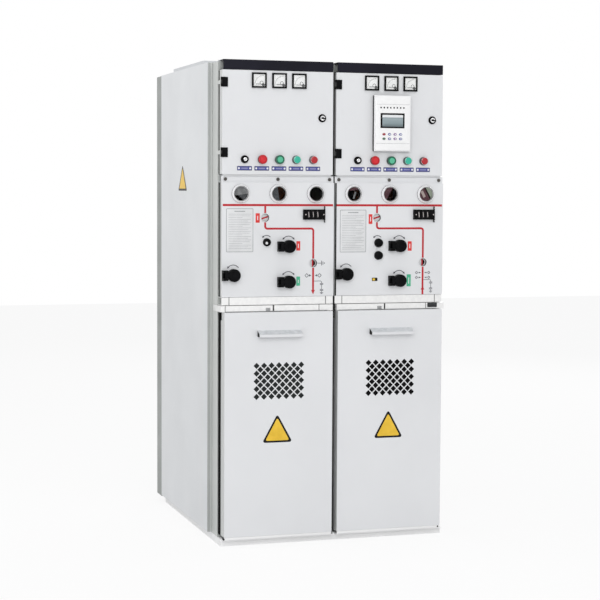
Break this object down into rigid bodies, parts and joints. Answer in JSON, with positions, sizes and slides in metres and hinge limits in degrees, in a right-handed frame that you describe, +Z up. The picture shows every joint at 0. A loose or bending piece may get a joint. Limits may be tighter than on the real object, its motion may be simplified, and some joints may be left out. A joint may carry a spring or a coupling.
{
  "type": "medium voltage switchgear",
  "caption": "Floor-standing metal-enclosed switchgear of joined cubicles, with hinged instrument doors, mimic panels with inspection windows, and lift-off vented cable doors.",
  "frame": {"origin": "on the floor, under the middle of the bounding box", "axes": "+X to the right as seen from the front, +Y to the rear, +Z up; the fronts face -Y"},
  "size_m": [1.04, 1.19, 2.07],
  "materials": {
    "powder_coat": "fine textured light grey powder coat",
    "cover_coat": "light grey powder coat",
    "zinc_plate": "bright zinc plated sheet",
    "base_coat": "light grey paint",
    "copper": "rolled copper bar",
    "red_resin": "cast epoxy resin",
    "brown_resin": "cast epoxy resin",
    "ring_metal": "turned and polished",
    "window_glass": "tempered glass",
    "band_paint": "dark blue-black vinyl film",
    "black_plastic": "moulded black plastic",
    "needle_metal": "painted black",
    "lock_chrome": "polished chrome",
    "red_plastic": "moulded red plastic",
    "green_plastic": "moulded green plastic",
    "relay_case": "moulded light grey plastic",
    "shaft_steel": "turned steel",
    "indicator_plastic": "white disc with a red bar"
  },
  "bodies": {
    "root": {"base_frame": "base_coat", "frame_posts": "cover_coat", "side_sheets": "powder_coat", "end_covers": "cover_coat", "rear_covers": "cover_coat", "roof_sheets": "powder_coat", "compartment_plates": "zinc_plate", "busbars": "copper", "bus_insulators": "red_resin", "switch_units": "brown_resin", "mechanism_boxes": "zinc_plate", "current_transformers": "brown_resin", "cable_terminals": "zinc_plate", "mimic_panels": "powder_coat", "porthole_rings": "ring_metal", "porthole_glass": "window_glass", "fixing_strips": "powder_coat", "front_rails": "zinc_plate", "name_bands": "band_paint", "panel_fittings": "black_plastic"},
    "inst_door_left": {"inst_door_left": "powder_coat", "door_hinges_left": "black_plastic", "door_instruments_left": "black_plastic"},
    "needle_left_1": {"needle_left_1": "needle_metal"},
    "needle_left_2": {"needle_left_2": "needle_metal"},
    "needle_left_3": {"needle_left_3": "needle_metal"},
    "door_lock_left": {"door_lock_left": "lock_chrome"},
    "selector_left": {"selector_left": "lock_chrome"},
    "red_button_left": {"red_button_left": "red_plastic"},
    "green_button_left": {"green_button_left": "green_plastic"},
    "switch_cover_left": {"switch_cover_left": "black_plastic"},
    "earth_cover_left": {"earth_cover_left": "black_plastic"},
    "charge_cover_left": {"charge_cover_left": "black_plastic"},
    "switch_shaft_left": {"switch_shaft_left": "shaft_steel"},
    "switch_indicator_left": {"switch_indicator_left": "indicator_plastic"},
    "earth_shaft_left": {"earth_shaft_left": "shaft_steel"},
    "earth_indicator_left": {"earth_indicator_left": "indicator_plastic"},
    "interlock_knob_left": {"interlock_knob_left": "black_plastic"},
    "cable_door_left": {"cable_door_left": "powder_coat"},
    "inst_door_right": {"inst_door_right": "powder_coat", "door_hinges_right": "black_plastic", "door_instruments_right": "black_plastic", "protection_relay": "relay_case"},
    "needle_right_1": {"needle_right_1": "needle_metal"},
    "needle_right_2": {"needle_right_2": "needle_metal"},
    "needle_right_3": {"needle_right_3": "needle_metal"},
    "door_lock_right": {"door_lock_right": "lock_chrome"},
    "selector_right": {"selector_right": "lock_chrome"},
    "red_button_right": {"red_button_right": "red_plastic"},
    "green_button_right": {"green_button_right": "green_plastic"},
    "switch_cover_right": {"switch_cover_right": "black_plastic"},
    "earth_cover_right": {"earth_cover_right": "black_plastic"},
    "charge_cover_right": {"charge_cover_right": "black_plastic"},
    "switch_shaft_right": {"switch_shaft_right": "shaft_steel"},
    "switch_indicator_right": {"switch_indicator_right": "indicator_plastic"},
    "earth_shaft_right": {"earth_shaft_right": "shaft_steel"},
    "earth_indicator_right": {"earth_indicator_right": "indicator_plastic"},
    "close_knob_right": {"close_knob_right": "black_plastic"},
    "open_knob_right": {"open_knob_right": "black_plastic"},
    "cable_door_right": {"cable_door_right": "powder_coat"}
  },
  "joints": [
    {"name": "inst_door_left_swing", "type": "hinge", "parent": "root", "child": "inst_door_left", "pos_m": [-0.501, -0.539, 1.784], "axis": [0, 0, -1], "range_deg": [0, 110]},
    {"name": "needle_left_1_turn", "type": "hinge", "parent": "inst_door_left", "child": "needle_left_1", "pos_m": [-0.322, -0.54, 1.944], "axis": [0, 1, 0], "range_deg": [0, 90], "stiffness_Nm_per_rad": 0.0002},
    {"name": "needle_left_2_turn", "type": "hinge", "parent": "inst_door_left", "child": "needle_left_2", "pos_m": [-0.234, -0.54, 1.944], "axis": [0, 1, 0], "range_deg": [0, 90], "stiffness_Nm_per_rad": 0.0002},
    {"name": "needle_left_3_turn", "type": "hinge", "parent": "inst_door_left", "child": "needle_left_3", "pos_m": [-0.147, -0.54, 1.944], "axis": [0, 1, 0], "range_deg": [0, 90], "stiffness_Nm_per_rad": 0.0002},
    {"name": "door_lock_left_turn", "type": "hinge", "parent": "inst_door_left", "child": "door_lock_left", "pos_m": [-0.06, -0.535, 1.807], "axis": [0, -1, 0], "range_deg": [0, 90]},
    {"name": "selector_left_turn", "type": "hinge", "parent": "inst_door_left", "child": "selector_left", "pos_m": [-0.4, -0.535, 1.631], "axis": [0, 1, 0], "range_deg": [-45, 45]},
    {"name": "red_button_left_press", "type": "slide", "parent": "inst_door_left", "child": "red_button_left", "axis": [0, 1, 0], "range_m": [0, 0.004], "stiffness_N_per_m": 400},
    {"name": "green_button_left_press", "type": "slide", "parent": "inst_door_left", "child": "green_button_left", "axis": [0, 1, 0], "range_m": [0, 0.004], "stiffness_N_per_m": 400},
    {"name": "switch_cover_left_flip", "type": "hinge", "parent": "root", "child": "switch_cover_left", "pos_m": [-0.24, -0.553, 1.266], "axis": [0, 0, -1], "range_deg": [0, 110]},
    {"name": "earth_cover_left_flip", "type": "hinge", "parent": "root", "child": "earth_cover_left", "pos_m": [-0.24, -0.553, 1.116], "axis": [0, 0, -1], "range_deg": [0, 110]},
    {"name": "charge_cover_left_flip", "type": "hinge", "parent": "root", "child": "charge_cover_left", "pos_m": [-0.482, -0.553, 1.146], "axis": [0, 0, -1], "range_deg": [0, 110]},
    {"name": "switch_shaft_left_turn", "type": "hinge", "parent": "root", "child": "switch_shaft_left", "pos_m": [-0.205, -0.531, 1.266], "axis": [0, 1, 0], "range_deg": [0, 90]},
    {"name": "switch_indicator_left_turn", "type": "hinge", "parent": "root", "child": "switch_indicator_left", "pos_m": [-0.308, -0.531, 1.387], "axis": [0, -1, 0], "range_deg": [0, 72]},
    {"name": "earth_shaft_left_turn", "type": "hinge", "parent": "root", "child": "earth_shaft_left", "pos_m": [-0.205, -0.531, 1.116], "axis": [0, 1, 0], "range_deg": [0, 90]},
    {"name": "earth_indicator_left_turn", "type": "hinge", "parent": "root", "child": "earth_indicator_left", "pos_m": [-0.095, -0.531, 1.194], "axis": [0, 1, 0], "range_deg": [0, 90]},
    {"name": "interlock_knob_left_turn", "type": "hinge", "parent": "root", "child": "interlock_knob_left", "pos_m": [-0.301, -0.531, 1.284], "axis": [0, 1, 0], "range_deg": [0, 90]},
    {"name": "cable_door_left_lift", "type": "slide", "parent": "root", "child": "cable_door_left", "axis": [0, 0, 1], "range_m": [0, 0.03]},
    {"name": "inst_door_right_swing", "type": "hinge", "parent": "root", "child": "inst_door_right", "pos_m": [-0.001, -0.539, 1.784], "axis": [0, 0, -1], "range_deg": [0, 110]},
    {"name": "needle_right_1_turn", "type": "hinge", "parent": "inst_door_right", "child": "needle_right_1", "pos_m": [0.178, -0.54, 1.944], "axis": [0, 1, 0], "range_deg": [0, 90], "stiffness_Nm_per_rad": 0.0002},
    {"name": "needle_right_2_turn", "type": "hinge", "parent": "inst_door_right", "child": "needle_right_2", "pos_m": [0.266, -0.54, 1.944], "axis": [0, 1, 0], "range_deg": [0, 90], "stiffness_Nm_per_rad": 0.0002},
    {"name": "needle_right_3_turn", "type": "hinge", "parent": "inst_door_right", "child": "needle_right_3", "pos_m": [0.353, -0.54, 1.944], "axis": [0, 1, 0], "range_deg": [0, 90], "stiffness_Nm_per_rad": 0.0002},
    {"name": "door_lock_right_turn", "type": "hinge", "parent": "inst_door_right", "child": "door_lock_right", "pos_m": [0.44, -0.535, 1.807], "axis": [0, -1, 0], "range_deg": [0, 90]},
    {"name": "selector_right_turn", "type": "hinge", "parent": "inst_door_right", "child": "selector_right", "pos_m": [0.1, -0.535, 1.631], "axis": [0, 1, 0], "range_deg": [-45, 45]},
    {"name": "red_button_right_press", "type": "slide", "parent": "inst_door_right", "child": "red_button_right", "axis": [0, 1, 0], "range_m": [0, 0.004], "stiffness_N_per_m": 400},
    {"name": "green_button_right_press", "type": "slide", "parent": "inst_door_right", "child": "green_button_right", "axis": [0, 1, 0], "range_m": [0, 0.004], "stiffness_N_per_m": 400},
    {"name": "switch_cover_right_flip", "type": "hinge", "parent": "root", "child": "switch_cover_right", "pos_m": [0.26, -0.553, 1.266], "axis": [0, 0, -1], "range_deg": [0, 110]},
    {"name": "earth_cover_right_flip", "type": "hinge", "parent": "root", "child": "earth_cover_right", "pos_m": [0.26, -0.553, 1.116], "axis": [0, 0, -1], "range_deg": [0, 110]},
    {"name": "charge_cover_right_flip", "type": "hinge", "parent": "root", "child": "charge_cover_right", "pos_m": [0.018, -0.553, 1.146], "axis": [0, 0, -1], "range_deg": [0, 110]},
    {"name": "switch_shaft_right_turn", "type": "hinge", "parent": "root", "child": "switch_shaft_right", "pos_m": [0.295, -0.531, 1.266], "axis": [0, 1, 0], "range_deg": [0, 90]},
    {"name": "switch_indicator_right_turn", "type": "hinge", "parent": "root", "child": "switch_indicator_right", "pos_m": [0.192, -0.531, 1.387], "axis": [0, -1, 0], "range_deg": [0, 72]},
    {"name": "earth_shaft_right_turn", "type": "hinge", "parent": "root", "child": "earth_shaft_right", "pos_m": [0.295, -0.531, 1.116], "axis": [0, 1, 0], "range_deg": [0, 90]},
    {"name": "earth_indicator_right_turn", "type": "hinge", "parent": "root", "child": "earth_indicator_right", "pos_m": [0.405, -0.531, 1.194], "axis": [0, 1, 0], "range_deg": [0, 90]},
    {"name": "close_knob_right_turn", "type": "hinge", "parent": "root", "child": "close_knob_right", "pos_m": [0.199, -0.531, 1.279], "axis": [0, 1, 0], "range_deg": [0, 90]},
    {"name": "open_knob_right_turn", "type": "hinge", "parent": "root", "child": "open_knob_right", "pos_m": [0.199, -0.531, 1.225], "axis": [0, 1, 0], "range_deg": [0, 90]},
    {"name": "cable_door_right_lift", "type": "slide", "parent": "root", "child": "cable_door_right", "axis": [0, 0, 1], "range_m": [0, 0.03]}
  ],
  "couplings": [
    {"joint": "switch_indicator_left_turn", "follows": "switch_shaft_left_turn", "ratio": 0.8},
    {"joint": "earth_indicator_left_turn", "follows": "earth_shaft_left_turn", "ratio": 1},
    {"joint": "switch_indicator_right_turn", "follows": "switch_shaft_right_turn", "ratio": 0.8},
    {"joint": "earth_indicator_right_turn", "follows": "earth_shaft_right_turn", "ratio": 1}
  ]
}
